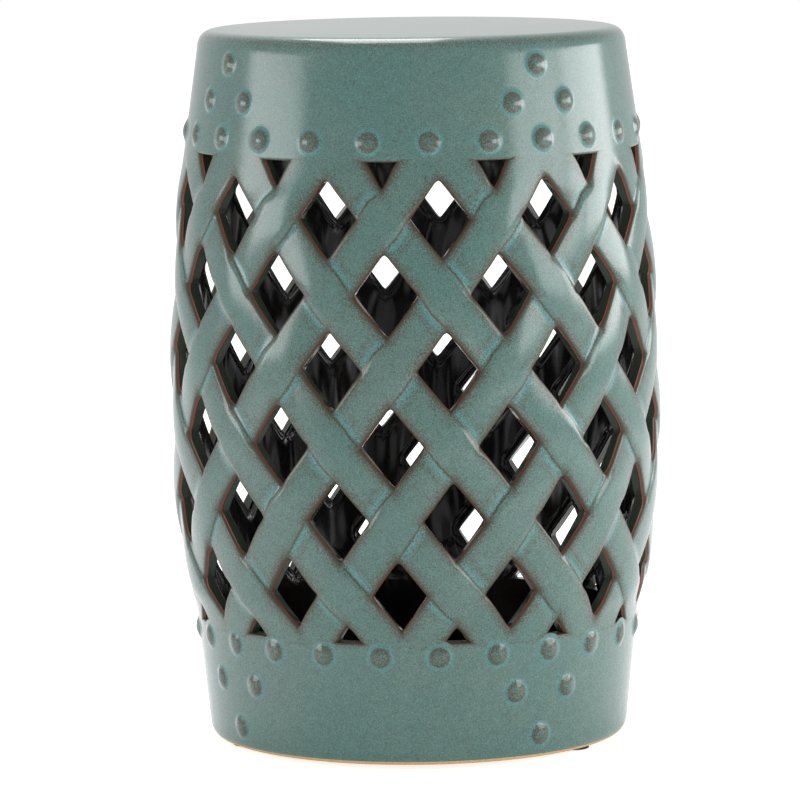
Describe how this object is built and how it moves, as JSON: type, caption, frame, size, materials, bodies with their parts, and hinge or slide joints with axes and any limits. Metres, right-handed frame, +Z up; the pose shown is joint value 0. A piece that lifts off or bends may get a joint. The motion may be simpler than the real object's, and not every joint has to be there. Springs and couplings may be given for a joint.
{
  "type": "ceramic garden stool",
  "caption": "Barrel-shaped ceramic garden stool with a woven openwork wall, plain bands with domed bosses and a flat round seat.",
  "frame": {"origin": "on the floor under the middle of the seat", "axes": "+Z up through the seat, -Y towards the pictured side, +X to the picture's right"},
  "size_m": [0.3175, 0.3176, 0.457],
  "materials": {
    "celadon_glaze": "glossy mottled grey-green reactive glaze, breaking brown at edges",
    "foot_pad": "matt black rubber"
  },
  "bodies": {
    "root": {"seat": "celadon_glaze", "upper_band": "celadon_glaze", "woven_wall": "celadon_glaze", "lower_band": "celadon_glaze", "foot_ring": "celadon_glaze", "upper_boss_ring": "celadon_glaze", "upper_boss_pyramids": "celadon_glaze", "lower_boss_ring": "celadon_glaze", "lower_boss_pyramids": "celadon_glaze", "foot_pad_1": "foot_pad", "foot_pad_2": "foot_pad", "foot_pad_3": "foot_pad"}
  },
  "joints": []
}
